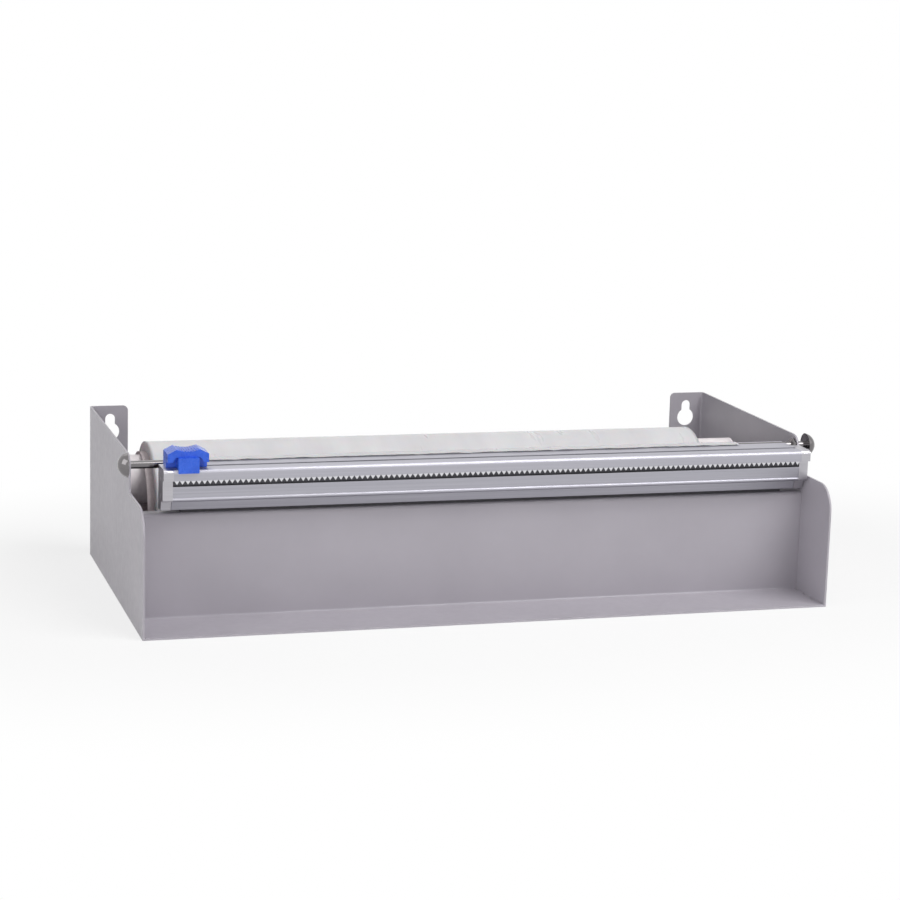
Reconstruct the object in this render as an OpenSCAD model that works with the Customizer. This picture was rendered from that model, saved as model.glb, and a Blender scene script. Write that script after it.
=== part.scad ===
// Counter dispenser for a roll of food film, with a cutter bar hinged on a rod.
// X runs along the roll, the front faces -Y, and the base lies on Z = 0.
// The origin is the middle of the base, halfway between the side plates' edges.

/* [Side plates] */
// Free width from the left plate's outer face to the wound film
film_left_room = 30.5; // [30:0.5:50]
// Free width from the wound film to the right plate's outer face
film_right_room = 51.5; // [30:0.5:60]
// Depth from the back edge to the front edge of the side plates
body_d = 268; // [260:1:300]
// Height of the high rear part of the side plates
side_h = 123; // [121:1:135]
// Depth of the low front part's top edge below the high part's
step_drop = 28; // [23:1:33]
// Thickness of the folded sheet
sheet_t = 1.5; // [1:0.1:2]
// Outer radius of the sheet's bends
bend_r = 3; // [2.5:0.1:3.5]
// Depth of the low front part
front_d = 65; // [62:1:68]
// Radius of the front corner
front_r = 20; // [10:1:30]
// Radius of the high part's front corner
neck_r = 11; // [6:1:14]
// Radius of the hollow corner between the low and the high part
step_r = 3; // [1:0.5:4]
// Width of the flange folded in at the back
flange_w = 31; // [28:1:40]
// Radius of the flange's free top corner
flange_r = 4; // [2:0.5:8]

/* [Wall keyholes] */
// Diameter of the hole that a screw head passes
keyhole_d = 15; // [12:0.5:16]
// Width of the slot above the hole
keyhole_slot_w = 8; // [5:0.5:9]
// Distance from the plate's outer face to the middle of the hole
keyhole_inset = 16.5; // [15:0.5:19]
// Depth of the hole's middle below the top edge
keyhole_drop = 21.4; // [20:0.1:26]
// Height from the hole's middle to the middle of the slot's round top
keyhole_rise = 10.8; // [8:0.1:11]

/* [Front tray] */
// Distance from the rod's axis forward to the panel's front face
panel_reach = 19; // [17:0.5:20]
// Width of the fold at the top of the panel
return_w = 11; // [9:0.5:12]
// Width of the welding flanges behind the panel's ends
weld_w = 13; // [10:1:16]
// Height of the welding flanges' lower edge
weld_low = 16; // [15:1:24]
// Depth of the welding flanges' upper edge below the panel's top
weld_drop = 7; // [5:1:16]
// Length of the relief slots in the tray floor beside the side plates
relief_l = 6; // [3:0.5:7]
// Width of the relief slots
relief_w = 2.2; // [1:0.1:3]
// Number of relief slots at each end
relief_count = 3; // [1:1:3]
// Spacing of the relief slots
relief_pitch = 14; // [10:1:15]
// Distance from the panel to the first relief slot's middle
relief_first = 4; // [4:0.5:6]
// Height of the rear floor pan's upturned edges
pan_h = 12; // [8:1:14]

/* [Pivot rod] */
// Diameter of the rod
rod_d = 6; // [5:0.1:6.4]
// Distance from the high part's front edge back to the rod's axis
rod_setback = 7; // [6.5:0.1:9]
// Depth of the rod's axis below the top edge
rod_drop = 8.5; // [7:0.1:10]
// Length of rod seen between the right side plate and its cap nut
rod_standout = 8; // [4:0.5:12]
// Diameter of the domed cap nuts
cap_d = 18.5; // [14:0.5:22]
// Height of the domed cap nuts
cap_h = 7.5; // [6.5:0.5:9]
// Depth that the rod goes into a cap nut
cap_grip = 5; // [3:0.5:5.5]
// Width across flats of the thin lock nut
nut_af = 10; // [9:0.5:11]
// Thickness of the thin lock nut
nut_t = 2.8; // [2:0.1:3.2]

/* [Film roll] */
// Distance from the back edge to the carrying tube's axis
tube_back = 95; // [85:1:105]
// Height of the wound film's underside above the base
roll_low = 15.8; // [12:0.1:20]
// Diameter of the carrying tube
tube_d = 38; // [32:1:42]
// Wall of the carrying tube
tube_wall = 2; // [1.5:0.1:3]
// Free space between the side plates and the tube's ends
tube_gap = 14; // [13:0.5:16]
// Inner diameter of the roll's core
core_bore = 76; // [60:1:80]
// Wall of the roll's core
core_wall = 2; // [1.5:0.1:4]
// Length of core that stands out of the wound film at its left end
core_out = 5; // [0:0.5:8]
// Depth of the core's right end inside the wound film
core_in = 1; // [0:0.5:8]
// Diameter over the wound film
film_d = 95; // [86:1:110]
// Length of the wound film
film_l = 454; // [300:1:600]
// Thickness of the loose film that comes off the roll
leader_t = 0.3; // [0.2:0.05:0.5]
// Reach of the loose film past the rod's axis, over the bar's top
leader_reach = 10; // [8:0.5:12]

/* [Roll bearings] */
// Diameter of the axle stubs
stub_d = 8; // [6:0.5:10]
// Gap between an axle stub's end and its bracket's back sheet
stub_gap = 1; // [0.5:0.1:2]
// Depth that a plug goes into the tube
plug_l = 12; // [8:1:20]
// Thickness of a plug's rim outside the tube
plug_rim_t = 1.5; // [1:0.1:2]
// Width of a roll bracket
bracket_w = 28; // [22:1:36]
// Gap between a roll bracket's lip and the plug's rim
bracket_gap = 2.5; // [1.5:0.1:4]
// Depth of a roll bracket's bottom below the stub's axis
bracket_drop = 22; // [16:1:30]
// Height of a roll bracket's top above the stub's axis
bracket_rise = 8; // [6:0.5:12]

/* [Cutter bar] */
// Distance from the left plate's outer face to the bar's left end
bar_left = 21; // [12:0.5:21]
// Distance from the right plate's outer face to the bar's right end
bar_right = 3; // [2.5:0.1:3.2]
// Thickness of the end caps along the bar
bar_cap_t = 7.5; // [6:0.5:9]
// Reach of the end caps back towards the rod, measured from the rod's axis
bar_cap_back = 12; // [10:0.5:12]
// Reach from the rod's axis to the bar's front face
bar_reach = 35; // [34:0.5:37]
// Height of the bar's top above the rod's axis
bar_rise = 2.5; // [2:0.1:2.9]
// Wall of the aluminium profiles
bar_wall = 1.6; // [1.2:0.1:1.8]
// Radius of the bar's rounded nose
nose_r = 3; // [2.5:0.1:3.2]
// Height of the front face above the teeth
lip_h = 8.5; // [8:0.1:9]
// Height of the dark recess between the front face and the lower face
recess_h = 5; // [4.4:0.1:5.4]
// Height of the lower face
face_h = 8.4; // [7.5:0.1:9]
// How far the lower face stands back behind the front face, at its top
face_back = 4; // [3:0.1:5]
// How far the lower face leans back over its height
face_lean = 1; // [0.5:0.1:1.5]
// Radius of the bead under the lower face
bead_r = 1.6; // [1.2:0.1:1.8]
// Wall of the groove that turns on the rod, cut open along its top
barrel_wall = 2.4; // [1.8:0.1:2.6]
// Distance from the rod's axis to the middle of the slider's channel
channel_reach = 22; // [21.5:0.1:22.5]
// Width inside the slider's channel
channel_w = 9; // [8:0.1:9.4]
// Height inside the slider's channel
channel_h = 3.4; // [3:0.1:3.8]
// Width of the slot over the slider's channel
channel_slot = 4; // [3.4:0.1:4.4]
// Outer radius of the ports that hold the end cap screws
port_r = 2.6; // [2:0.1:2.8]
// Radius of the end cap screws
cap_screw_r = 1.1; // [0.9:0.05:1.3]
// Length of the end cap screws under their heads
cap_screw_l = 15; // [12:1:20]

/* [Lower lip] */
// Height of the light band along the lip
band_h = 7.1; // [6.8:0.1:7.4]
// Distance from the rod's axis to the band's top edge
band_top_reach = 24.5; // [24:0.1:25]
// Distance from the rod's axis to the band's bottom edge
band_bottom_reach = 21.8; // [21.5:0.1:22]
// Distance from the rod's axis to the front of the lip's flange
lip_flange_front = 27; // [26.5:0.1:27.5]
// Distance from the rod's axis to the back of the lip's foot
foot_back = 10; // [9:0.5:11]
// Number of screws that hold the lip
lip_screw_count = 4; // [2:1:6]
// Radius of the screws that hold the lip
lip_screw_r = 1.5; // [1.2:0.1:1.6]
// Length of the screws that hold the lip, under their heads
lip_screw_l = 5; // [4.6:0.1:5.4]
// Thickness of the soft strip that the closed bar lies on
strip_t = 2.7; // [2:0.1:4]
// Width of the soft strip
strip_w = 6; // [4:0.5:7]
// Distance from the rail's ends to the soft strip's ends
strip_inset = 8.5; // [4:0.5:60]

/* [Serrated blade] */
// Spacing of the teeth
tooth_pitch = 4.1; // [3:0.1:6]
// Height of the teeth
tooth_h = 3; // [2:0.1:3.6]
// Thickness of the blade
blade_t = 0.8; // [0.5:0.1:1]
// Height of blade held in the bar above the teeth
blade_hold = 4.8; // [4:0.1:5]

/* [Slider] */
// Gap between the slider's cutting blade and the left end cap at rest
slider_stop_gap = 0.5; // [0.3:0.1:20]
// Width of the slider
slider_w = 30.5; // [28:0.5:34]
// Depth of the slider's body
slider_d = 19; // [17:0.5:20]
// Height of the slider's shoulders above the bar's top
shoulder_h = 15; // [13:0.1:16]
// Distance between the slider's shoulders
shoulder_gap = 17.2; // [15:0.1:18]
// Depth of the thumb hollow below the shoulders
thumb_dip = 1.7; // [1:0.1:2.5]
// Number of ridges in the thumb hollow
ridge_count = 7; // [3:1:9]
// Spacing of the ridges
ridge_pitch = 2; // [1.6:0.1:2]
// Radius of the ridges
ridge_r = 0.4; // [0.3:0.05:0.6]
// Height of the wings' outer top corners above the bar's top
wing_top_h = 11.6; // [10:0.1:12.5]
// Height of the wings' underside above the bar's top
wing_low_h = 5.2; // [4:0.1:6]
// Height of the hollow under the wings above the bar's top
arch_h = 9; // [8:0.1:9.4]
// Depth of the hollow under the wings, from the front
arch_d = 8; // [5:0.5:9]
// Width of the tongue in front of the bar
tongue_w = 15.3; // [13:0.1:16]
// Thickness of the tongue
tongue_t = 3.2; // [2.4:0.1:4]
// Depth of the tongue below the bar's top
tongue_drop = 2.3; // [1.5:0.1:3]
// Length of the shoe that runs in the channel
shoe_l = 12; // [10:0.5:12.5]
// Radius of the screw between the slider's body and its shoe
slider_screw_r = 1; // [0.8:0.05:1.2]
// Thickness of the slider's cutting blades
cutter_t = 0.5; // [0.3:0.05:0.8]
// Length of each cutting blade
cutter_l = 3.5; // [3:0.1:3.8]

/* [Fits] */
// Radial clearance of every part that turns on or in another
turn_fit = 0.08; // [0.05:0.01:0.1]
// Clearance of every part that slides in another, per side
slide_fit = 0.25; // [0.15:0.05:0.35]
// Clearance of fixed parts in their holes
fixed_fit = 0.05; // [0.02:0.01:0.1]
// Gap between parts that lie on each other and still move
rest_gap = 0.3; // [0.2:0.05:0.5]

/* [Hidden] */
$fn = 64;
// How far a cut runs past the face that it opens
over = 1;

// Places of the side plates
body_w = film_l + film_left_room + film_right_room;
step_h = side_h - step_drop;
half_w = body_w / 2;
front_y = -body_d / 2;
back_y = body_d / 2;
inner_x = half_w - sheet_t;
neck_y = front_y + front_d;
bend_in = bend_r - sheet_t;

// Places of the rod and what is screwed on it
rod_y = neck_y + rod_setback;
rod_z = side_h - rod_drop;
rod_r = rod_d / 2;
cap_r = cap_d / 2;
dome_r = (cap_r * cap_r + cap_h * cap_h) / (2 * cap_h);
rod_left = -half_w - cap_grip;
rod_right = half_w + rod_standout + cap_grip;

// Place of the panel's front and back faces
panel_y = rod_y - panel_reach;
panel_back_y = panel_y + sheet_t;

// Places of the roll
tube_y = back_y - tube_back;
tube_r = tube_d / 2;
tube_end = inner_x - tube_gap;
core_r = core_bore / 2;
core_z = roll_low + film_d / 2;
tube_z = core_z + core_r - rest_gap - tube_r;
wound_r = core_r + core_wall + fixed_fit;
film_x0 = film_left_room - half_w;
film_x1 = half_w - film_right_room;
stub_r = stub_d / 2;
stub_l = tube_gap - plug_rim_t - sheet_t - stub_gap;
bracket_d = tube_gap - plug_rim_t - bracket_gap;

// Places along the cutter bar, from its left end to its right end
bar_x0 = bar_left - half_w;
bar_x1 = half_w - bar_right;
rail_x0 = bar_x0 + bar_cap_t;
rail_x1 = bar_x1 - bar_cap_t;
rail_l = rail_x1 - rail_x0;

// Heights and reaches in the bar's section, measured from the rod's axis
plate_low = bar_rise - bar_wall;
lip_low = bar_rise - lip_h;
shelf_z = lip_low - recess_h;
face_y = -bar_reach + face_back;
face_low = shelf_z - face_h;
bead_y = face_y + face_lean + bead_r / 2;
bead_z = face_low - bead_r;
base_z = bead_z - bead_r / 2;
channel_y = -channel_reach;
channel_low = plate_low - channel_h;
web_front = channel_y - channel_w / 2 - bar_wall;
web_back = channel_y + channel_w / 2;
barrel_bore_r = rod_r + turn_fit;
barrel_r = barrel_bore_r + barrel_wall;
groove_front = -bar_reach + bar_wall;
rib_y = groove_front + blade_t;
groove_top = lip_low + blade_hold;
port_tops = [channel_y + bar_wall, channel_low - bar_wall / 2 - port_r];
port_lows = [web_front + bar_wall / 2 + port_r, base_z + bar_wall / 2 + port_r];
port_bore_r = cap_screw_r + fixed_fit;
cap_head_r = 2 * cap_screw_r;
cap_head_t = cap_screw_r * 1.4;

// Heights in the lower lip's section, measured from the rod's axis
lip_flange_low = base_z - bar_wall;
band_low = lip_flange_low - band_h;
lip_screw_y = web_back - lip_screw_r - bar_wall / 5;
lip_flange_back = web_back + bar_wall + lip_screw_r;
lip_head_r = 1.6 * lip_screw_r;
lip_head_t = lip_screw_r;
lip_boss_r = lip_screw_r + bar_wall;
lip_boss_h = lip_screw_l - 2 * bar_wall;
foot_z = rod_z + band_low;
panel_h = foot_z - rest_gap - strip_t;

// The loose film: off the roll's lower front, up behind the groove on the rod and over the rod
leader_r = film_d / 2 + rest_gap + leader_t;
leader_bend_r = barrel_r + rest_gap;
leader_top_z = rod_z + rod_r + rest_gap;
leader_run = [rod_y - tube_y, rod_z - core_z];
leader_angle = atan2(leader_run.y, leader_run.x) + acos((leader_r + leader_bend_r) / norm(leader_run));
leader_side = [cos(leader_angle), sin(leader_angle)];

// Places of the slider, with its heights measured from the bar's top
bar_top_z = rod_z + bar_rise;
slider_front = -bar_reach - slide_fit;
slider_back = slider_front + slider_d;
tongue_front = slider_front - tongue_t;
thumb_r = (shoulder_gap * shoulder_gap / 4 + thumb_dip * thumb_dip) / (2 * thumb_dip);
thumb_z = shoulder_h - thumb_dip + thumb_r;
slider_half = slider_w / 2;
neck_w = channel_slot - 2 * slide_fit;
neck_l = shoe_l / 2;
shoe_w = channel_w - 2 * slide_fit;
shoe_top = -bar_wall - slide_fit;
shoe_low = -bar_wall - channel_h + slide_fit;
slider_head_r = 2 * slider_screw_r;
slider_head_t = slider_screw_r;
slider_grip = shoulder_h / 2;
cutter_in = shoe_l / 2 + 2 * slide_fit;
slider_mid = rail_x0 + cutter_in + cutter_l + slider_stop_gap;
cutter_low = -bar_wall - channel_h / 2;
cutter_top = wing_low_h;
cutter_slope = cutter_l / 2;

plate_color = [0.66, 0.66, 0.68];
steel_color = [0.78, 0.78, 0.80];
aluminium_color = [0.80, 0.80, 0.84];
blue_color = [0.25, 0.45, 0.98];
white_color = [0.93, 0.93, 0.95];
card_color = [0.60, 0.54, 0.50];
rubber_color = [0.15, 0.15, 0.16];

// Extrudes an outline drawn in Y and Z along X, from x0 to x1
module along_x(x0, x1) {
    translate([x0, 0, 0]) rotate([90, 0, 90]) linear_extrude(x1 - x0) children();
}

// A round bar along X, from x0 to x1
module bar_x(x0, x1, r) {
    translate([x0, 0, 0]) rotate([0, 90, 0]) cylinder(h = x1 - x0, r = r);
}

// A block between two corners
module block(low, high) {
    translate(low) cube(high - low);
}

// A rectangle between two corners
module rect(low, high) {
    translate(low) square(high - low);
}

// The side plate's outline in Y and Z
module side_outline() {
    rect([neck_y + neck_r, 0], [back_y, side_h]);
    rect([neck_y, 0], [back_y, side_h - neck_r]);
    translate([neck_y + neck_r, side_h - neck_r]) circle(r = neck_r);
    rect([front_y + front_r, 0], [neck_y, step_h]);
    rect([front_y, 0], [neck_y, step_h - front_r]);
    translate([front_y + front_r, step_h - front_r]) circle(r = front_r);
    difference() {
        rect([neck_y - step_r, step_h], [neck_y, step_h + step_r]);
        translate([neck_y - step_r, step_h + step_r]) circle(r = step_r);
    }
}

// The left plate from above: a straight wall and the flange folded in at its back
module plate_plan() {
    rect([-half_w, front_y], [-inner_x, back_y - bend_r]);
    rect([-half_w + bend_r, back_y - sheet_t], [-half_w + flange_w, back_y]);
    intersection() {
        translate([-half_w + bend_r, back_y - bend_r]) difference() {
            circle(r = bend_r);
            circle(r = bend_in);
        }
        rect([-half_w, back_y - bend_r], [-half_w + bend_r, back_y]);
    }
}

// The hole and slot that hang the plate on a wall screw, cut along Y
module keyhole() {
    translate([-half_w + keyhole_inset, back_y + over, side_h - keyhole_drop]) rotate([90, 0, 0]) {
        cylinder(h = sheet_t + 2 * over, d = keyhole_d);
        translate([0, keyhole_rise, 0]) cylinder(h = sheet_t + 2 * over, d = keyhole_slot_w);
        translate([-keyhole_slot_w / 2, 0, 0]) cube([keyhole_slot_w, keyhole_rise, sheet_t + 2 * over]);
    }
}

// Rounds the free top corner of the back flange
module flange_corner() {
    translate([-half_w + flange_w - flange_r, back_y + over, side_h - flange_r]) rotate([90, 0, 0]) {
        difference() {
            cube([flange_r + over, flange_r + over, sheet_t + 2 * over]);
            cylinder(h = sheet_t + 2 * over, r = flange_r);
        }
    }
}

module side_plate() {
    difference() {
        intersection() {
            linear_extrude(side_h) plate_plan();
            along_x(-half_w - over, -half_w + flange_w + over) side_outline();
        }
        translate([0, rod_y, rod_z]) bar_x(-half_w - over, -inner_x + over, rod_r + turn_fit);
        keyhole();
        flange_corner();
    }
}

module left_side_plate() {
    color(plate_color) side_plate();
}

module right_side_plate() {
    color(plate_color) mirror([1, 0, 0]) side_plate();
}

// The tray sheet in Y and Z: floor, bend, panel, bend and the fold at the top
module tray_profile() {
    rect([front_y, 0], [panel_back_y - bend_r, sheet_t]);
    rect([panel_y, bend_r], [panel_back_y, panel_h - bend_r]);
    rect([panel_y + bend_r, panel_h - sheet_t], [panel_y + return_w, panel_h]);
    intersection() {
        translate([panel_back_y - bend_r, bend_r]) difference() {
            circle(r = bend_r);
            circle(r = bend_in);
        }
        rect([panel_back_y - bend_r, 0], [panel_back_y, bend_r]);
    }
    intersection() {
        translate([panel_y + bend_r, panel_h - bend_r]) difference() {
            circle(r = bend_r);
            circle(r = bend_in);
        }
        rect([panel_y, panel_h - bend_r], [panel_y + bend_r, panel_h]);
    }
}

module front_tray() {
    color(plate_color) {
        difference() {
            along_x(-inner_x, inner_x) tray_profile();
            for (side = [-1, 1], i = [0:relief_count - 1]) {
                translate([side * inner_x, panel_y - relief_first - i * relief_pitch, sheet_t / 2])
                    cube([2 * relief_w, relief_l, sheet_t + 2 * over], center = true);
            }
        }
        for (side = [0, 1]) mirror([side, 0, 0]) block(
            [inner_x - sheet_t, panel_y, weld_low],
            [inner_x, panel_y + weld_w, panel_h - weld_drop]
        );
    }
}

module rear_floor_pan() {
    pan_back = back_y - sheet_t;
    color(plate_color) {
        block([-inner_x, panel_back_y, 0], [inner_x, pan_back, sheet_t]);
        block([-inner_x, panel_back_y, 0], [inner_x, panel_back_y + sheet_t, pan_h]);
        block([-inner_x, pan_back - sheet_t, 0], [inner_x, pan_back, pan_h]);
        for (side = [0, 1]) mirror([side, 0, 0])
            block([inner_x - sheet_t, panel_back_y, 0], [inner_x, pan_back, pan_h]);
    }
}

module pivot_rod() {
    color(steel_color) translate([0, rod_y, rod_z]) bar_x(rod_left, rod_right, rod_r);
}

// A domed nut that stands on X = 0 and points along -X
module cap_nut() {
    difference() {
        intersection() {
            translate([dome_r - cap_h, 0, 0]) sphere(r = dome_r);
            bar_x(-cap_h - over, 0, cap_r + over);
        }
        bar_x(-cap_grip - fixed_fit, over, rod_r + fixed_fit);
    }
}

module rod_cap_nuts() {
    color(steel_color) translate([0, rod_y, rod_z]) {
        translate([-half_w, 0, 0]) cap_nut();
        translate([half_w + rod_standout, 0, 0]) mirror([1, 0, 0]) cap_nut();
    }
}

module rod_lock_nut() {
    color(steel_color) translate([0, rod_y, rod_z]) difference() {
        translate([inner_x - nut_t, 0, 0]) rotate([0, 90, 0])
            cylinder(h = nut_t, d = nut_af / cos(30), $fn = 6);
        bar_x(inner_x - nut_t - over, inner_x + over, rod_r + fixed_fit);
    }
}

// A channel on the left plate, its lip notched from above for the axle stub
module roll_bracket() {
    low_z = tube_z - bracket_drop;
    high_z = tube_z + bracket_rise;
    low_y = tube_y - bracket_w / 2;
    high_y = tube_y + bracket_w / 2;
    lip_x = -inner_x + bracket_d;
    notch_r = stub_r + turn_fit;
    difference() {
        union() {
            block([-inner_x, low_y, low_z], [-inner_x + sheet_t, high_y, high_z]);
            block([-inner_x, low_y, low_z], [lip_x, high_y, low_z + sheet_t]);
            block([lip_x - sheet_t, low_y, low_z], [lip_x, high_y, high_z]);
        }
        translate([0, tube_y, tube_z]) {
            bar_x(lip_x - sheet_t - over, lip_x + over, notch_r);
            block([lip_x - sheet_t - over, -notch_r, 0], [lip_x + over, notch_r, bracket_rise + over]);
        }
    }
}

module left_roll_bracket() {
    color(plate_color) roll_bracket();
}

module right_roll_bracket() {
    color(plate_color) mirror([1, 0, 0]) roll_bracket();
}

module rest_strip() {
    strip_y = panel_y + bend_r;
    color(rubber_color) block(
        [rail_x0 + strip_inset, strip_y, panel_h],
        [rail_x1 - strip_inset, strip_y + strip_w, panel_h + strip_t]
    );
}

// The rail's section in Y and Z about the rod's axis
module rail_section() {
    difference() {
        union() {
            circle(r = barrel_r);
            rect([-bar_reach + nose_r, plate_low], [-barrel_bore_r - barrel_wall / 2, bar_rise]);
            translate([-bar_reach + nose_r, bar_rise - nose_r]) circle(r = nose_r);
            rect([-bar_reach, lip_low], [groove_front, bar_rise - nose_r]);
            rect([rib_y, lip_low + bar_wall / 2], [rib_y + bar_wall, bar_rise - nose_r]);
            rect([web_front, channel_low - bar_wall], [web_back + bar_wall, bar_rise]);
            rect([web_front, base_z], [web_front + bar_wall, channel_low]);
            rect([web_back, base_z], [web_back + bar_wall, channel_low]);
            rect([face_y, shelf_z - bar_wall], [web_front + bar_wall, shelf_z]);
            polygon([
                [face_y, shelf_z], [face_y + bar_wall, shelf_z],
                [face_y + face_lean + bar_wall, bead_z], [face_y + face_lean, bead_z]
            ]);
            translate([bead_y, bead_z]) circle(r = bead_r);
            rect([bead_y, base_z], [web_back + bar_wall, base_z + bar_wall]);
            for (port = [port_tops, port_lows]) translate(port) circle(r = port_r);
        }
        circle(r = barrel_bore_r);
        rect([-barrel_r - over, bar_rise], [barrel_r + over, barrel_r + over]);
        rect([groove_front, lip_low - over], [rib_y, groove_top]);
        rect([channel_y - channel_w / 2, channel_low], [channel_y + channel_w / 2, plate_low]);
        rect([channel_y - channel_slot / 2, 0], [channel_y + channel_slot / 2, bar_rise + over]);
        for (port = [port_tops, port_lows]) translate(port) circle(r = port_bore_r);
    }
}

// Places along X of the screws that hold the lip
function lip_screw_x(i) = rail_x0 + rail_l * (i + 0.5) / lip_screw_count;

module cutter_rail() {
    color(aluminium_color) translate([0, rod_y, rod_z]) difference() {
        union() {
            along_x(rail_x0, rail_x1) rail_section();
            for (i = [0:lip_screw_count - 1])
                translate([lip_screw_x(i), lip_screw_y, base_z])
                    cylinder(h = bar_wall + lip_boss_h, r = lip_boss_r);
        }
        for (i = [0:lip_screw_count - 1])
            translate([lip_screw_x(i), lip_screw_y, base_z - over])
                cylinder(h = bar_wall + lip_boss_h + 2 * over, r = lip_screw_r + fixed_fit);
    }
}

// The lower lip's section in Y and Z about the rod's axis: flange, leaning band and foot
module lip_section() {
    polygon([
        [-lip_flange_front, base_z], [lip_flange_back, base_z], [lip_flange_back, lip_flange_low],
        [-band_top_reach + bar_wall, lip_flange_low],
        [-band_bottom_reach + bar_wall, band_low + bar_wall],
        [-foot_back, band_low + bar_wall], [-foot_back, band_low], [-band_bottom_reach, band_low],
        [-band_top_reach, lip_flange_low], [-lip_flange_front, lip_flange_low]
    ]);
}

module lower_lip() {
    color(aluminium_color) translate([0, rod_y, rod_z]) difference() {
        along_x(rail_x0, rail_x1) lip_section();
        for (i = [0:lip_screw_count - 1])
            translate([lip_screw_x(i), lip_screw_y, lip_flange_low - over])
                cylinder(h = bar_wall + 2 * over, r = lip_screw_r + fixed_fit);
    }
}

module lip_screws() {
    color(steel_color) translate([0, rod_y, rod_z]) for (i = [0:lip_screw_count - 1])
        translate([lip_screw_x(i), lip_screw_y, lip_flange_low]) {
            cylinder(h = lip_screw_l, r = lip_screw_r);
            translate([0, 0, -lip_head_t]) cylinder(h = lip_head_t, r = lip_head_r);
        }
}

// The blade's outline in X and Z: a plain strip with a row of teeth below
module blade_outline() {
    tooth_count = floor(rail_l / tooth_pitch);
    first_x = rail_x0 + (rail_l - tooth_count * tooth_pitch) / 2;
    polygon([
        [rail_x0, groove_top],
        [rail_x0, lip_low],
        for (i = [0:tooth_count - 1], half = [0, 1])
            [first_x + (i + half / 2) * tooth_pitch, lip_low - half * tooth_h],
        [first_x + tooth_count * tooth_pitch, lip_low],
        [rail_x1, lip_low],
        [rail_x1, groove_top]
    ]);
}

module serrated_blade() {
    color(steel_color) translate([0, rod_y + rib_y, rod_z]) rotate([90, 0, 0])
        linear_extrude(blade_t) blade_outline();
}

// The end cap's outline in Y and Z: the bar's outer shape without its hollows
module cap_outline() {
    rect([-bar_reach, lip_low], [-bar_cap_back, bar_rise - nose_r]);
    rect([-bar_reach + nose_r, lip_low], [-bar_cap_back, bar_rise]);
    translate([-bar_reach + nose_r, bar_rise - nose_r]) circle(r = nose_r);
    rect([face_y, bead_z], [-bar_cap_back, lip_low]);
    translate([bead_y, bead_z]) circle(r = bead_r);
    rect([bead_y, bead_z - bead_r], [-bar_cap_back, bead_z]);
    polygon([
        [-lip_flange_front, bead_z], [-band_top_reach, lip_flange_low], [-band_bottom_reach, band_low],
        [-bar_cap_back, band_low], [-bar_cap_back, bead_z]
    ]);
}

// The left end cap, with sunk holes for its two screws
module rail_cap(x0) {
    translate([0, rod_y, rod_z]) difference() {
        along_x(x0, x0 + bar_cap_t) cap_outline();
        for (port = [port_tops, port_lows]) translate([0, port.x, port.y]) {
            bar_x(x0 - over, x0 + bar_cap_t + over, port_bore_r);
            bar_x(x0 - over, x0 + cap_head_t + fixed_fit, cap_head_r + fixed_fit);
        }
    }
}

module left_rail_cap() {
    color(steel_color) rail_cap(bar_x0);
}

module right_rail_cap() {
    color(steel_color) mirror([1, 0, 0]) rail_cap(-bar_x1);
}

// The two screws of the left end cap
module cap_screw_pair(x0) {
    translate([0, rod_y, rod_z]) for (port = [port_tops, port_lows]) translate([0, port.x, port.y]) {
        bar_x(x0 + fixed_fit, x0 + cap_head_t, cap_head_r);
        bar_x(x0 + fixed_fit, x0 + cap_head_t + cap_screw_l, cap_screw_r);
    }
}

module rail_cap_screws() {
    color(steel_color) {
        cap_screw_pair(bar_x0);
        mirror([1, 0, 0]) cap_screw_pair(-bar_x1);
    }
}

// Moves a shape to the slider's middle, on the rod's line and on the bar's top
module at_slider() {
    translate([slider_mid, rod_y, bar_top_z]) children();
}

// Extrudes an outline drawn in X and Z along Y, from y0 to y1
module along_y(y0, y1) {
    translate([0, y1, 0]) rotate([90, 0, 0]) linear_extrude(y1 - y0) children();
}

// The slider seen from the front, without its thumb hollow
module slider_outline() {
    polygon([
        [-slider_half, slide_fit], [-slider_half, wing_top_h], [-shoulder_gap / 2, shoulder_h],
        [shoulder_gap / 2, shoulder_h], [slider_half, wing_top_h], [slider_half, slide_fit]
    ]);
}

// The hollow under the wings, seen from the front
module arch_outline() {
    arch_top_half = tongue_w / 2 + wing_low_h / 4;
    rect([-slider_half - over, -over], [slider_half + over, wing_low_h]);
    polygon([
        [-slider_half + tongue_t, wing_low_h], [-arch_top_half, arch_h],
        [arch_top_half, arch_h], [slider_half - tongue_t, wing_low_h]
    ]);
}

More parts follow.
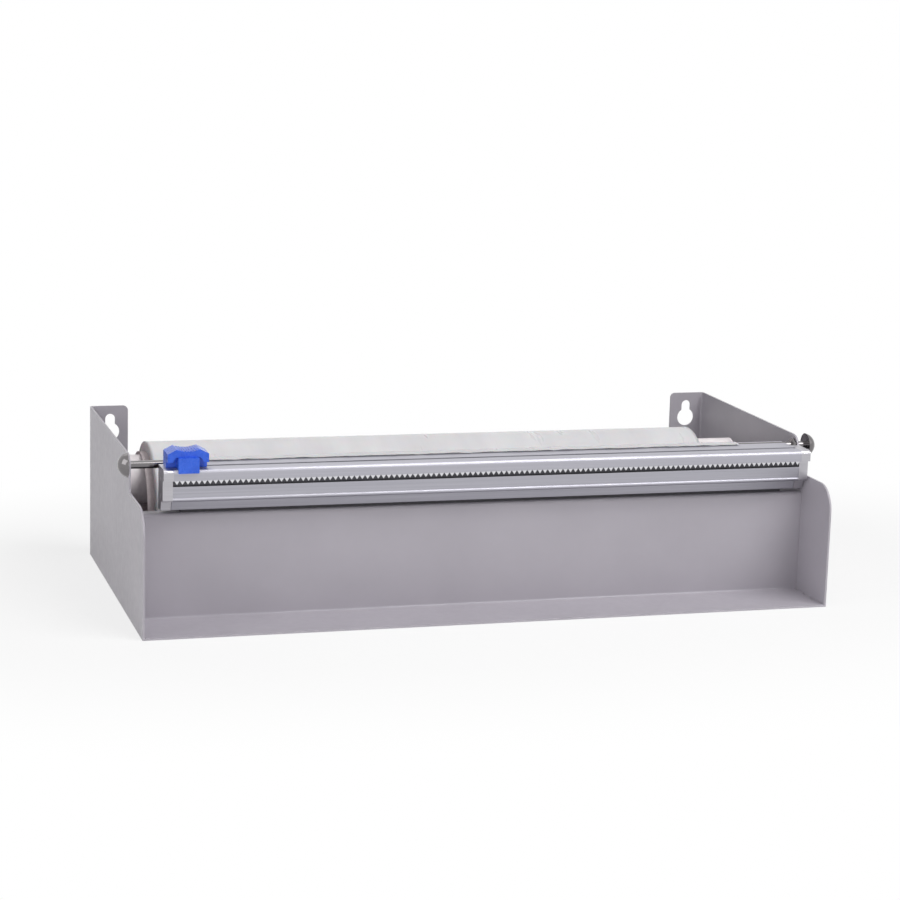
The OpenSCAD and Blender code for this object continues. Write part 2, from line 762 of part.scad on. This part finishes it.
module slider_body() {
    color(blue_color) at_slider() difference() {
        union() {
            difference() {
                along_y(slider_front, slider_back) slider_outline();
                along_y(slider_front - over, slider_front + arch_d) arch_outline();
            }
            block([-tongue_w / 2, tongue_front, -tongue_drop], [tongue_w / 2, slider_front, arch_h]);
            block([-tongue_w / 2, tongue_front, slide_fit], [tongue_w / 2, slider_front + arch_d, arch_h]);
            for (i = [0:ridge_count - 1]) {
                a = asin((i - (ridge_count - 1) / 2) * ridge_pitch / thumb_r);
                translate([thumb_r * sin(a), slider_back - over, thumb_z - thumb_r * cos(a)])
                    rotate([90, 0, 0]) cylinder(h = slider_d - 2 * over, r = ridge_r);
            }
        }
        difference() {
            translate([0, slider_back + over, thumb_z]) rotate([90, 0, 0])
                cylinder(h = slider_d + tongue_t + 2 * over, r = thumb_r, $fn = 128);
            for (i = [0:ridge_count - 1]) {
                a = asin((i - (ridge_count - 1) / 2) * ridge_pitch / thumb_r);
                translate([thumb_r * sin(a), slider_back - over, thumb_z - thumb_r * cos(a)])
                    rotate([90, 0, 0]) cylinder(h = slider_d - 2 * over, r = ridge_r);
            }
        }
        translate([0, channel_y, 0]) cylinder(h = slider_grip, r = slider_screw_r + fixed_fit);
        for (side = [0, 1]) mirror([side, 0, 0]) block(
            [cutter_in, channel_y - cutter_t / 2, 0],
            [cutter_in + cutter_l, channel_y + cutter_t / 2, cutter_top]
        );
    }
}

module slider_shoe() {
    color(blue_color) at_slider() translate([0, channel_y, 0]) difference() {
        union() {
            block([-shoe_l / 2, -shoe_w / 2, shoe_low], [shoe_l / 2, shoe_w / 2, shoe_top]);
            block([-neck_l / 2, -neck_w / 2, shoe_top], [neck_l / 2, neck_w / 2, slide_fit]);
        }
        translate([0, 0, shoe_low - over]) {
            cylinder(h = slider_head_t + over, r = slider_head_r + fixed_fit);
            cylinder(h = slide_fit - shoe_low + 2 * over, r = slider_screw_r + fixed_fit);
        }
    }
}

// One cutting blade in X and Z, its outer lower edge slanting inwards
module cutter_outline() {
    polygon([
        [cutter_in, cutter_top], [cutter_in + cutter_l, cutter_top], [cutter_in + cutter_l, slide_fit],
        [cutter_in + cutter_slope, cutter_low], [cutter_in, cutter_low]
    ]);
}

module slider_blades() {
    color(steel_color) at_slider() for (side = [0, 1]) mirror([side, 0, 0])
        along_y(channel_y - cutter_t / 2, channel_y + cutter_t / 2) cutter_outline();
}

module slider_screw() {
    color(steel_color) at_slider() translate([0, channel_y, shoe_low]) {
        cylinder(h = slider_head_t, r = slider_head_r);
        cylinder(h = slider_grip - shoe_low, r = slider_screw_r);
    }
}

module roll_tube() {
    color(white_color) translate([0, tube_y, tube_z]) difference() {
        bar_x(-tube_end, tube_end, tube_r);
        bar_x(-tube_end - over, tube_end + over, tube_r - tube_wall);
    }
}

// The left plug: a disc in the tube, a rim against its end and the axle stub
module tube_plug() {
    rim_x = -tube_end - plug_rim_t;
    translate([0, tube_y, tube_z]) {
        bar_x(-tube_end, -tube_end + plug_l, tube_r - tube_wall - fixed_fit);
        bar_x(rim_x, -tube_end, tube_r);
        bar_x(rim_x - stub_l, rim_x, stub_r);
    }
}

module left_tube_plug() {
    color(white_color) tube_plug();
}

module right_tube_plug() {
    color(white_color) mirror([1, 0, 0]) tube_plug();
}

module roll_core() {
    color(card_color) translate([0, tube_y, core_z]) difference() {
        bar_x(film_x0 - core_out, film_x1 - core_in, core_r + core_wall);
        bar_x(film_x0 - core_out - over, film_x1 - core_in + over, core_r);
    }
}

module film_roll() {
    color(white_color) translate([0, tube_y, core_z]) difference() {
        bar_x(film_x0, film_x1, film_d / 2);
        bar_x(film_x0 - over, film_x1 + over, wound_r);
    }
}

// The loose film in Y and Z: up from the roll, over the rod and on to the bar's top
module leader_outline() {
    rise = [
        [tube_y, core_z] + leader_r * leader_side,
        [rod_y, rod_z] - leader_bend_r * leader_side
    ];
    rest = [
        [rod_y, leader_top_z],
        [rod_y - barrel_r, bar_top_z + rest_gap],
        [rod_y - leader_reach, bar_top_z + rest_gap]
    ];
    under = concat(rise, rest);
    over_side = concat([for (p = rise) p - leader_t * leader_side], [for (p = rest) p + [0, leader_t]]);
    last = len(under) - 1;
    polygon(concat(under, [for (i = [0:last]) over_side[last - i]]));
}

module film_leader() {
    color(white_color) along_x(film_x0, film_x1) leader_outline();
}

left_side_plate();
right_side_plate();
front_tray();
rear_floor_pan();
pivot_rod();
rod_cap_nuts();
rod_lock_nut();
left_roll_bracket();
right_roll_bracket();
rest_strip();
cutter_rail();
lower_lip();
serrated_blade();
left_rail_cap();
right_rail_cap();
lip_screws();
rail_cap_screws();
slider_body();
slider_shoe();
slider_blades();
slider_screw();
roll_tube();
left_tube_plug();
right_tube_plug();
roll_core();
film_roll();
film_leader();
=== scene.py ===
# Film roll cutter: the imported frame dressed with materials, the loose film and a studio.
import math

import bpy
from mathutils import Matrix, Vector, noise

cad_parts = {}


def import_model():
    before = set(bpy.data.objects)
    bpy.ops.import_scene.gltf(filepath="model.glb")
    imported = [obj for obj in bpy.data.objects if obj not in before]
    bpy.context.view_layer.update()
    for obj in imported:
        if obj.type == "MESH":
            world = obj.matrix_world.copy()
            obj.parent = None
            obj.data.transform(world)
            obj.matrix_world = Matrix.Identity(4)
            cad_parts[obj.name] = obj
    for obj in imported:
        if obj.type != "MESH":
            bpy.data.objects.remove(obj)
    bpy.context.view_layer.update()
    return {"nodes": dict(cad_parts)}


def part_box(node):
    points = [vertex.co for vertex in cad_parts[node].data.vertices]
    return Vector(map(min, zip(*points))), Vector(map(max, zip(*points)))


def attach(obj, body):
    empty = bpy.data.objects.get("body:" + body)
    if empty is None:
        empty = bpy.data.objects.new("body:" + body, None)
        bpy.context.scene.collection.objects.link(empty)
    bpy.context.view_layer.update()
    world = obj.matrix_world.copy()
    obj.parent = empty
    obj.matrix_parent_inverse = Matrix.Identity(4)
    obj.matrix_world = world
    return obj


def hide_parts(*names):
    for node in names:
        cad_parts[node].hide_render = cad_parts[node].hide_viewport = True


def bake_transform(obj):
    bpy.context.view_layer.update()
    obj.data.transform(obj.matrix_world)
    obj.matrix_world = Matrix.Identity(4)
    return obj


MM = 0.001
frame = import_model()
bpy.context.scene.view_settings.view_transform = "Standard"
NODES = frame["nodes"]

# Camera solved from the photograph, in the part's frame, in metres and radians
CAM_PLACE = Vector((-0.54505, -1.81676, 0.48419))
CAM_YAW = 0.29065
CAM_PITCH = 0.19698
CAM_ROLL = 0.02936
CAM_FOCAL_PX = 2439.64
PHOTO_PX = 900
SENSOR_MM = 36.0

# Lamps: place, size and power, with the point they aim at and the world's level
WORLD_LEVEL = 0.03
LAMP_TARGET = Vector((0, 0, 0.05))
LAMPS = {
    "key": ((0.95, -1.2, 1.85), (1.6, 1.3), 36),
    "high": ((-0.2, -0.8, 2.4), (2.0, 1.6), 10),
    "left": ((-2.1, -0.7, 1.2), (1.8, 1.6), 14),
    "right": ((2.2, -0.9, 1.2), (1.6, 1.4), 3),
    "fill": ((-0.8, -2.0, 0.62), (1.0, 0.7), 5),
    "back": ((-0.4, 1.6, 1.9), (1.8, 1.2), 4),
}

# The floor: half its width, where it fades to plain white, the fade's shape and its least share
FLOOR_HALF = 6
FADE_START = 0.30
FADE_END = 0.62
FADE_STRETCH = (0.8, 1.4, 1)
FADE_LEAST = 0.76

# The groove under the teeth: its floor below their tips, its depth, and the painted shade inside it
GROOVE_FLOOR = 0.0021
GROOVE_HEIGHT = 0.0051
GROOVE_DEPTH = (0.0006, 0.0075)
GROOVE_PAINTED_SHADE = (0.11, 0.108, 0.12)

# The loose film: columns along the roll, rows along its run, and its height over what it lies on
LEADER_COLUMNS = 228
LEADER_ROWS = 84
LEADER_LIFT = 0.0003
# Wall of the groove on the rod with its gap, the film's reach past the rod, and the turn it stays on the roll
GROOVE_WALL = 0.0028
LEADER_REACH = 0.0105
WRAP_DEG = 20
WRAP_STEPS = 9
# Its surface: its height over its path, its pull lines, its tears and crinkles in two sizes, its torn edge
FILM_LIFT = 0.05 * MM
PULL_LINES = (0.5 * MM, 0.25 * MM)
TEARS = (4.2 * MM, 1.6 * MM)
CRINKLES = (1.1, 0.5)

# The wound film: sides of its round, turns shown on its ends, steps along it, and its round shoulders
ROUND_SIDES = 144
END_TURNS = 26
ROLL_STEPS = 150
SHOULDER = 0.9 * MM
SHOULDER_SHARE = 0.9
SHOULDER_STEPS = 6
# Its gap on the core, the unevenness of its ends, and the depth of its wide and fine bands
CORE_GAP = 0.3 * MM
END_RAGGED = 0.5 * MM
BANDS = (0.16 * MM, 0.07 * MM)
# How far a face leans towards the roll's end before it counts as the end
END_LEAN = 0.75

# Vertices closer than these are joined, on the CAD nodes and on the turned ring
CAD_WELD = 0.00001
RING_WELD = 0.000001


def camera():
    """The camera at the photograph's viewing angle."""
    data = bpy.data.cameras.new("camera")
    data.sensor_width = SENSOR_MM
    data.lens = CAM_FOCAL_PX * SENSOR_MM / PHOTO_PX
    data.clip_end = 50
    flat = math.cos(CAM_PITCH)
    ahead = Vector((math.sin(CAM_YAW) * flat, math.cos(CAM_YAW) * flat, -math.sin(CAM_PITCH)))
    level = Vector((math.cos(CAM_YAW), -math.sin(CAM_YAW), 0))
    upright = level.cross(ahead)
    right = level * math.cos(CAM_ROLL) + upright * math.sin(CAM_ROLL)
    up = upright * math.cos(CAM_ROLL) - level * math.sin(CAM_ROLL)
    turn = Matrix((right, up, -ahead)).transposed().to_4x4()
    ob = bpy.data.objects.new("camera", data)
    ob.matrix_world = Matrix.Translation(CAM_PLACE) @ turn
    bpy.context.scene.collection.objects.link(ob)
    bpy.context.scene.camera = ob


# Studio

def area_light(name, place, size, power):
    """A soft white rectangular lamp at place that points at the object."""
    data = bpy.data.lights.new(name, "AREA")
    data.shape = "RECTANGLE"
    data.size, data.size_y = size
    data.energy = power
    ob = bpy.data.objects.new(name, data)
    ob.location = place
    ob.rotation_euler = (LAMP_TARGET - Vector(place)).to_track_quat("-Z", "Y").to_euler()
    bpy.context.scene.collection.objects.link(ob)


def seen_rays(tree):
    """1 for camera, glossy and transmission rays, 0 for the rest."""
    path = tree.nodes.new("ShaderNodeLightPath")
    total = path.outputs["Is Camera Ray"]
    for ray in ("Is Glossy Ray", "Is Transmission Ray"):
        both = tree.nodes.new("ShaderNodeMath")
        both.operation = "MAXIMUM"
        tree.links.new(total, both.inputs[0])
        tree.links.new(path.outputs[ray], both.inputs[1])
        total = both.outputs[0]
    return total


def world(light_level, seen_level):
    """Even white light, with plain white seen by the camera and in reflections."""
    w = bpy.data.worlds.new("studio")
    bpy.context.scene.world = w
    w.use_nodes = True
    t = w.node_tree
    t.nodes.clear()
    out = t.nodes.new("ShaderNodeOutputWorld")
    lit = t.nodes.new("ShaderNodeBackground")
    lit.inputs["Color"].default_value = (1, 1, 1, 1)
    lit.inputs["Strength"].default_value = light_level
    seen = t.nodes.new("ShaderNodeBackground")
    seen.inputs["Color"].default_value = (1, 1, 1, 1)
    seen.inputs["Strength"].default_value = seen_level
    mix = t.nodes.new("ShaderNodeMixShader")
    t.links.new(seen_rays(t), mix.inputs[0])
    t.links.new(lit.outputs[0], mix.inputs[1])
    t.links.new(seen.outputs[0], mix.inputs[2])
    t.links.new(mix.outputs[0], out.inputs[0])


def floor():
    """A wide pale plane: dark under the object, shaded near it and plain white further out."""
    mesh = bpy.data.meshes.new("floor")
    corners = [(x * FLOOR_HALF, y * FLOOR_HALF, 0) for x, y in ((-1, -1), (1, -1), (1, 1), (-1, 1))]
    mesh.from_pydata(corners, [], [(0, 1, 2, 3)])
    ob = bpy.data.objects.new("floor", mesh)
    bpy.context.scene.collection.objects.link(ob)
    m = Maker("floor", (0.93, 0.93, 0.93), 0.9)
    m.color_from(m.noise(9), (0.925, 0.925, 0.925), (0.935, 0.935, 0.935))
    away = m.node("VectorMath", operation="LENGTH")
    m.link(m.coords(FADE_STRETCH), away.inputs[0])
    share = m.node("MapRange", interpolation_type="SMOOTHSTEP")
    share.inputs["From Min"].default_value = FADE_START
    share.inputs["From Max"].default_value = FADE_END
    share.inputs["To Min"].default_value = FADE_LEAST
    m.link(away.outputs["Value"], share.inputs["Value"])
    low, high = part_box("front_tray")
    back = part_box("rear_floor_pan")[1][1]
    under = m.node("Math", operation="MULTIPLY")
    m.link(inside(m, 0, low[0], high[0]), under.inputs[0])
    m.link(inside(m, 1, low[1], back), under.inputs[1])
    clear = m.node("Math", operation="SUBTRACT", use_clamp=True)
    m.link(share.outputs[0], clear.inputs[0])
    m.link(under.outputs[0], clear.inputs[1])
    seen = m.node("Math", operation="MULTIPLY")
    m.link(clear.outputs[0], seen.inputs[0])
    m.link(seen_rays(m.tree), seen.inputs[1])
    glow = m.node("Emission")
    mix = m.node("MixShader")
    m.link(seen.outputs[0], mix.inputs[0])
    m.link(m.shader.outputs[0], mix.inputs[1])
    m.link(glow.outputs[0], mix.inputs[2])
    m.link(mix.outputs[0], m.tree.nodes["Material Output"].inputs["Surface"])
    mesh.materials.append(m.material)


# Materials

class Maker:
    """A node material built up in small steps round one Principled shader."""

    def __init__(self, name, color, roughness, **sockets):
        self.material = bpy.data.materials.new(name)
        self.material.use_nodes = True
        self.tree = self.material.node_tree
        self.shader = self.tree.nodes["Principled BSDF"]
        self.shader.inputs["Base Color"].default_value = (*color, 1)
        self.shader.inputs["Roughness"].default_value = roughness
        for key, value in sockets.items():
            self.shader.inputs[key.replace("_", " ")].default_value = value
        self.place = None

    def node(self, kind, **settings):
        n = self.tree.nodes.new("ShaderNode" + kind)
        for key, value in settings.items():
            setattr(n, key, value)
        return n

    def link(self, a, b):
        self.tree.links.new(a, b)

    def coords(self, stretch=(1, 1, 1)):
        """Object coordinates in metres, stretched."""
        if self.place is None:
            self.place = self.node("TexCoord")
        scale = self.node("Mapping")
        scale.inputs["Scale"].default_value = stretch
        self.link(self.place.outputs["Object"], scale.inputs["Vector"])
        return scale.outputs[0]

    def noise(self, scale, stretch=(1, 1, 1), detail=3, rough=0.55):
        n = self.node("TexNoise")
        n.inputs["Scale"].default_value = scale
        n.inputs["Detail"].default_value = detail
        n.inputs["Roughness"].default_value = rough
        self.link(self.coords(stretch), n.inputs["Vector"])
        return n.outputs["Fac"]

    def ramp(self, value, low, high):
        """value from 0 to 1 mapped to low..high, both numbers."""
        n = self.node("MapRange")
        n.inputs["From Min"].default_value = 0.3
        n.inputs["From Max"].default_value = 0.7
        n.inputs["To Min"].default_value = low
        n.inputs["To Max"].default_value = high
        self.link(value, n.inputs["Value"])
        return n.outputs[0]

    def blend_colors(self, value, dark, light):
        """A colour between dark and light, by a value from 0 to 1."""
        n = self.node("Mix", data_type="RGBA")
        n.inputs[6].default_value = (*dark, 1)
        n.inputs[7].default_value = (*light, 1)
        self.link(value, n.inputs[0])
        return n.outputs[2]

    def color_from(self, value, dark, light):
        """Colours the surface between dark and light, by a noise."""
        self.link(self.blend_colors(self.ramp(value, 0, 1), dark, light), self.shader.inputs["Base Color"])

    def roughness_from(self, value, low, high):
        """Makes the surface smoother and rougher between low and high, by a noise."""
        self.link(self.ramp(value, low, high), self.shader.inputs["Roughness"])

    def bump(self, value, strength, distance):
        """Adds a bump to those that the surface has."""
        n = self.node("Bump")
        n.inputs["Strength"].default_value = strength
        n.inputs["Distance"].default_value = distance
        self.link(value, n.inputs["Height"])
        previous = self.shader.inputs["Normal"]
        if previous.is_linked:
            self.link(previous.links[0].from_socket, n.inputs["Normal"])
        self.link(n.outputs[0], self.shader.inputs["Normal"])


def grey_paint():
    """Light grey powder coat: a fine orange peel and a faint mottling."""
    m = Maker("grey_paint", (0.46, 0.436, 0.48), 0.4, Specular_IOR_Level=0.2)
    m.color_from(m.noise(14, detail=4), (0.442, 0.419, 0.462), (0.478, 0.454, 0.498))
    m.roughness_from(m.noise(160), 0.3, 0.42)
    m.bump(m.noise(900, detail=2), 0.12, 0.0002)
    m.bump(m.noise(38, detail=2), 0.1, 0.0006)
    return m.material


def inside(m, axis, low, high):
    """1 where the place along one axis lies from low to high, 0 elsewhere."""
    split = m.node("SeparateXYZ")
    m.link(m.coords(), split.inputs[0])
    over = m.node("Math", operation="GREATER_THAN")
    over.inputs[1].default_value = low
    under = m.node("Math", operation="LESS_THAN")
    under.inputs[1].default_value = high
    both = m.node("Math", operation="MULTIPLY")
    for test, entry in ((over, 0), (under, 1)):
        m.link(split.outputs[axis], test.inputs[0])
        m.link(test.outputs[0], both.inputs[entry])
    return both.outputs[0]


def aluminium(name, tint, rough, groove=None):
    """Satin anodised extrusion with drawing lines along X, and painted shade inside its groove."""
    m = Maker(name, tint, rough, Metallic=1.0)
    streaks = m.noise(1, (3, 1400, 1400), detail=4, rough=0.7)
    dull, shiny = tuple(c * 0.93 for c in tint), tuple(c * 1.05 for c in tint)
    shade = m.blend_colors(m.ramp(streaks, 0, 1), dull, shiny)
    if groove:
        # Painted shade: the rail's colour turns dark inside the groove box, where shadow falls behind the
        # teeth
        dark = m.node("Math", operation="MULTIPLY")
        for entry, (axis, low, high) in enumerate(groove):
            m.link(inside(m, axis, low, high), dark.inputs[entry])
        mix = m.node("Mix", data_type="RGBA")
        mix.inputs[7].default_value = (*GROOVE_PAINTED_SHADE, 1)
        m.link(dark.outputs[0], mix.inputs[0])
        m.link(shade, mix.inputs[6])
        shade = mix.outputs[2]
    m.link(shade, m.shader.inputs["Base Color"])
    m.roughness_from(m.noise(1, (9, 700, 700)), rough * 0.8, rough * 1.3)
    m.bump(streaks, 0.16, 0.00008)
    return m.material


def steel(name, tint, rough, stretch=(2, 800, 800), strength=0.1):
    """Bright steel with fine lines along the stretch."""
    m = Maker(name, tint, rough, Metallic=1.0)
    lines = m.noise(1, stretch, detail=3)
    m.roughness_from(lines, rough * 0.7, rough * 1.5)
    m.bump(lines, strength, 0.00005)
    m.color_from(m.noise(60), tuple(c * 0.96 for c in tint), tint)
    return m.material


def blue_plastic():
    """Glossy moulded plastic, a saturated blue."""
    m = Maker("blue_plastic", (0.03, 0.125, 0.72), 0.26, Specular_IOR_Level=0.35, Coat_Weight=0.12)
    m.color_from(m.noise(90, detail=2), (0.026, 0.112, 0.68), (0.036, 0.14, 0.77))
    m.roughness_from(m.noise(300), 0.2, 0.34)
    m.bump(m.noise(1400, detail=2), 0.06, 0.00012)
    return m.material


def white_plastic():
    """Off-white extruded tube, slightly pink, drawn along X."""
    m = Maker("white_plastic", (0.93, 0.87, 0.885), 0.4)
    m.color_from(m.noise(1, (6, 120, 120), detail=4), (0.90, 0.84, 0.855), (0.96, 0.90, 0.915))
    m.roughness_from(m.noise(200), 0.34, 0.48)
    m.bump(m.noise(1, (4, 500, 500)), 0.08, 0.0001)
    return m.material


def core_card():
    """Wound card: winding bands and fibres."""
    m = Maker("core_card", (0.60, 0.53, 0.54), 0.85)
    m.color_from(m.noise(1, (60, 400, 400), detail=5), (0.55, 0.485, 0.495), (0.65, 0.575, 0.585))
    m.bump(m.noise(1500, detail=4), 0.25, 0.0002)
    return m.material


def film(name, dark, light, cover=1.0):
    """Clear film, whitish, with soft bands across its width; cover under 1 lets what is behind show."""
    m = Maker(name, light, 0.34, Subsurface_Weight=0.15, Subsurface_Scale=0.004, Alpha=cover,
              Coat_Weight=0.2, Coat_Roughness=0.25)
    m.color_from(m.noise(1, (45, 6, 6), detail=5), dark, light)
    m.roughness_from(m.noise(1, (120, 20, 20)), 0.26, 0.44)
    m.bump(m.noise(1, (260, 14, 14), detail=2), 0.07, 0.0003)
    return m.material


def film_ends(name):
    """The edges of the film's turns, pale in fine rings."""
    m = Maker(name, (0.70, 0.66, 0.67), 0.5, Subsurface_Weight=0.3, Subsurface_Scale=0.006)
    m.color_from(m.noise(700, detail=4), (0.62, 0.585, 0.595), (0.78, 0.74, 0.75))
    m.bump(m.noise(1500, detail=3), 0.2, 0.0002)
    return m.material


def rubber():
    """Matt black rubber with a fine grain."""
    m = Maker("black_rubber", (0.06, 0.058, 0.064), 0.7)
    m.color_from(m.noise(300), (0.05, 0.048, 0.054), (0.07, 0.068, 0.074))
    m.bump(m.noise(1200), 0.2, 0.0002)
    return m.material


def dress(node, material, edge=0.0):
    """Gives a CAD node its material, and its edges a small round."""
    ob = NODES[node]
    ob.data.materials.clear()
    ob.data.materials.append(material)
    if edge > 0:
        weld = ob.modifiers.new("weld", "WELD")
        weld.merge_threshold = CAD_WELD
        bevel = ob.modifiers.new("edge", "BEVEL")
        bevel.width = edge
        bevel.segments = 3
        bevel.limit_method = "ANGLE"
        bevel.angle_limit = math.radians(30)
        bevel.harden_normals = True
        bevel.use_clamp_overlap = True


# Film

def middle(node):
    """The middle of a node's box and half its sizes."""
    low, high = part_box(node)
    low, high = Vector(low), Vector(high)
    return (low + high) / 2, (high - low) / 2


def new_piece(name, verts, faces, material):
    """A smooth mesh piece with one material."""
    mesh = bpy.data.meshes.new(name)
    mesh.from_pydata(verts, [], faces)
    mesh.materials.append(material)
    mesh.shade_smooth()
    ob = bpy.data.objects.new(name, mesh)
    bpy.context.scene.collection.objects.link(ob)
    return ob


def quads(rows, columns, close=False):
    """Faces of a grid of rows by columns, closed from its last row to its first if asked."""
    faces = []
    for r in range(rows if close else rows - 1):
        here, there = r * columns, (r + 1) % rows * columns
        faces += [(here + c, here + c + 1, there + c + 1, there + c) for c in range(columns - 1)]
    return faces


def ripple(x, s, across, down, seed):
    """Soft noise from 0 to 1 with its own scale across the film's width and down its run."""
    return 0.5 + 0.5 * noise.noise(Vector((x * across, s * down, seed)))


def leader_line():
    """The film's underside (y, z): round the roll's lower front, up behind the bar's groove, over the rod."""
    roll, roll_half = middle("film_roll")
    rod, rod_half = middle("pivot_rod")
    bar_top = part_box("cutter_rail")[1][2]
    radius = roll_half.z + LEADER_LIFT
    bend = rod_half.z + GROOVE_WALL
    run = Vector((rod.y - roll.y, rod.z - roll.z))
    leave = math.atan2(run.y, run.x) + math.acos((radius + bend) / run.length)
    line = []
    for i in range(WRAP_STEPS + 1):
        a = leave + math.radians(WRAP_DEG) * (1 - i / WRAP_STEPS)
        line.append(Vector((roll.y + radius * math.cos(a), roll.z + radius * math.sin(a))))
    start = len(line) - 1
    side = Vector((math.cos(leave), math.sin(leave)))
    line.append(Vector((rod.y, rod.z)) - bend * side)
    line.append(Vector((rod.y, rod.z + rod_half.z + LEADER_LIFT)))
    line.append(Vector((rod.y - bend, bar_top + LEADER_LIFT)))
    line.append(Vector((rod.y - LEADER_REACH, bar_top + LEADER_LIFT)))
    return line, start


def along(line, s):
    """The point at distance s along a line of (y, z) points, and the normal on its upper side."""
    for a, b in zip(line, line[1:]):
        d = (b - a).length
        if s <= d or b is line[-1]:
            t = (b - a) / d
            return a + t * s, Vector((t.y, -t.x))
        s -= d


def film_leader(material):
    """The loose end of the film: taut up to the rod, with fine pull lines and a torn, crinkled edge."""
    line, start = leader_line()
    lengths = [(b - a).length for a, b in zip(line, line[1:])]
    total = sum(lengths)
    on_roll = sum(lengths[:start])
    at_rod = sum(lengths[:start + 1])
    low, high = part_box("film_roll")
    verts = []
    for r in range(LEADER_ROWS):
        share = r / (LEADER_ROWS - 1)
        for c in range(LEADER_COLUMNS):
            x = low[0] + (high[0] - low[0]) * c / (LEADER_COLUMNS - 1)
            ragged = TEARS[0] * ripple(x, 0, 38, 0, 3) + TEARS[1] * ripple(x, 0, 170, 0, 5)
            s = (total - ragged) * share
            place, normal = along(line, s)
            rise = FILM_LIFT
            if on_roll < s < at_rod:
                taut = math.sin(math.pi * (s - on_roll) / (at_rod - on_roll))
                lines = PULL_LINES[0] * ripple(x, s, 70, 5, 1) + PULL_LINES[1] * ripple(x, s, 260, 9, 2)
                rise = -taut * lines
            elif s >= at_rod:
                loose = (s - at_rod) / (total - at_rod)
                crinkle = CRINKLES[0] * ripple(x, s, 120, 60, 7) + CRINKLES[1] * ripple(x, s, 420, 150, 8)
                rise += loose ** 1.5 * crinkle * MM
            place = place + normal * rise
            verts.append((x, place.x, place.y))
    ob = new_piece("loose_film", verts, quads(LEADER_ROWS, LEADER_COLUMNS), material)
    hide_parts("film_leader")
    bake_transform(ob)


def lathe(name, profile, centre, sides, material):
    """A closed ring turned about X through centre, from a closed profile of (x, radius) points."""
    verts = []
    for i in range(sides):
        a = 2 * math.pi * i / sides
        for x, r in [*profile, profile[0]]:
            verts.append((x, centre.y + r * math.cos(a), centre.z + r * math.sin(a)))
    ob = new_piece(name, verts, quads(sides, len(profile) + 1, close=True), material)
    weld = ob.modifiers.new("weld", "WELD")
    weld.merge_threshold = RING_WELD
    return ob


def wound_film(material, end_material):
    """The roll of film: soft bands along it, round shoulders and ends with the edges of its turns."""
    low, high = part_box("film_roll")
    centre, half = middle("film_roll")
    core = middle("roll_core")[1].z
    outer, inner = half.z, core + CORE_GAP
    rim = outer - SHOULDER
    profile = []
    for i in range(END_TURNS + 1):
        r = inner + (rim - inner) * i / END_TURNS
        profile.append((low[0] + END_RAGGED * ripple(r, 0, 1900, 0, 11), r))
    for i in range(1, SHOULDER_STEPS):
        short = SHOULDER * (1 - math.sin(math.radians(90 * i / SHOULDER_STEPS)))
        profile.append((low[0] + short * SHOULDER_SHARE, outer - short))
    for i in range(1, ROLL_STEPS):
        x = low[0] + (high[0] - low[0]) * i / ROLL_STEPS
        dip = BANDS[0] * ripple(x, 0, 30, 0, 12) + BANDS[1] * ripple(x, 0, 150, 0, 13)
        profile.append((x, outer - dip))
    for i in range(1, SHOULDER_STEPS):
        short = SHOULDER * (1 - math.sin(math.radians(90 * (1 - i / SHOULDER_STEPS))))
        profile.append((high[0] - short * SHOULDER_SHARE, outer - short))
    for i in range(END_TURNS + 1):
        r = rim - (rim - inner) * i / END_TURNS
        profile.append((high[0] - END_RAGGED * ripple(r, 0, 1900, 0, 14), r))
    ob = lathe("wound_film", profile, centre, ROUND_SIDES, material)
    ob.data.materials.append(end_material)
    for face in ob.data.polygons:
        if abs(face.normal.x) > END_LEAN:
            face.material_index = 1
    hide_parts("film_roll")
    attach(ob, "roll")


camera()
world(WORLD_LEVEL, 1.0)
for lamp, (place, size, power) in LAMPS.items():
    area_light(lamp, place, size, power)
floor()

paint = grey_paint()
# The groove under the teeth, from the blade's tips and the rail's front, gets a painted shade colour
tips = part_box("serrated_blade")[0][2]
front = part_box("cutter_rail")[0][1]
floor_z = tips - GROOVE_FLOOR
groove = ((1, *(front + d for d in GROOVE_DEPTH)), (2, floor_z, floor_z + GROOVE_HEIGHT))
rail = aluminium("rail_aluminium", (0.42, 0.415, 0.46), 0.47, groove)
cap_metal = aluminium("cap_metal", (0.48, 0.47, 0.50), 0.34)
bright = steel("bright_steel", (0.2, 0.19, 0.195), 0.08)
blade = steel("blade_steel", (0.72, 0.72, 0.75), 0.35)
screw = steel("screw_steel", (0.40, 0.40, 0.42), 0.3, (300, 300, 300))
blue = blue_plastic()
white = white_plastic()
card = core_card()
wound = film("film", (0.68, 0.67, 0.69), (0.75, 0.74, 0.76))
wound_ends = film_ends("film_ends")
loose = film("loose_film", (0.74, 0.73, 0.75), (0.82, 0.81, 0.83), 0.85)
black = rubber()

for name in ("left_side_plate", "right_side_plate", "front_tray", "rear_floor_pan",
             "left_roll_bracket", "right_roll_bracket"):
    dress(name, paint, 0.00025)
for name in ("pivot_rod", "rod_cap_nuts", "rod_lock_nut"):
    dress(name, bright)
for name in ("cutter_rail", "lower_lip"):
    dress(name, rail, 0.0006)
for name in ("left_rail_cap", "right_rail_cap"):
    dress(name, cap_metal, 0.0003)
for name in ("serrated_blade", "slider_blades"):
    dress(name, blade)
for name in ("lip_screws", "rail_cap_screws", "slider_screw"):
    dress(name, screw)
dress("slider_body", blue, 0.0006)
dress("slider_shoe", blue)
for name in ("roll_tube", "left_tube_plug", "right_tube_plug"):
    dress(name, white)
dress("roll_core", card)
dress("rest_strip", black)
wound_film(wound, wound_ends)
film_leader(loose)
